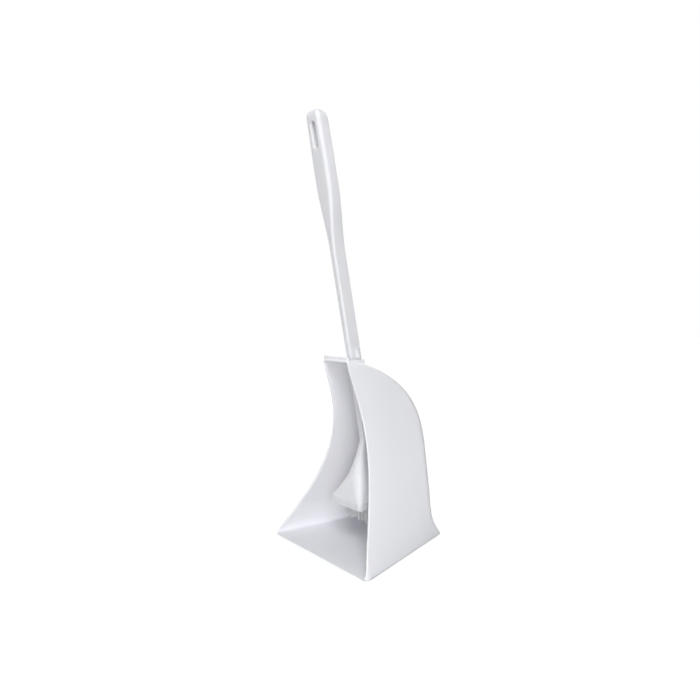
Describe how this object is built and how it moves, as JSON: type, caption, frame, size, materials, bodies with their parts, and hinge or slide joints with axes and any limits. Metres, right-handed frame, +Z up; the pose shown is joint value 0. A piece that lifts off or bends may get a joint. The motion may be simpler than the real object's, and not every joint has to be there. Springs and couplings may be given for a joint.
{
  "type": "dust pan and brush set",
  "caption": "Upright white plastic dust pan with flared mouth and arched back; a long-handled brush with a fan-shaped head hangs through a keyhole in its roof.",
  "frame": {"origin": "centre of the pan's base, on the surface it stands on", "axes": "+X across the mouth, +Y from the mouth to the heel, +Z up"},
  "size_m": [0.1666, 0.1649, 0.494],
  "materials": {
    "pan_plastic": "satin injection-moulded white polypropylene",
    "brush_plastic": "satin injection-moulded white polypropylene",
    "block_plastic": "plain moulded, drilled",
    "bristle": "white synthetic filament, slightly sheer",
    "anchor_wire": "flat galvanised wire"
  },
  "bodies": {
    "pan": {"pan": "pan_plastic"},
    "brush": {"brush_body": "brush_plastic", "tuft_block": "block_plastic", "tufts_row_1": "bristle", "tufts_row_2": "bristle", "tufts_row_3": "bristle", "tufts_row_4": "bristle", "tufts_row_5": "bristle", "tuft_anchors": "anchor_wire"}
  },
  "joints": [
    {"name": "brush_swing", "type": "hinge", "parent": "pan", "child": "brush", "pos_m": [0, -0.0219, 0.2228], "axis": [-1, 0, 0], "range_deg": [0, 30]}
  ]
}
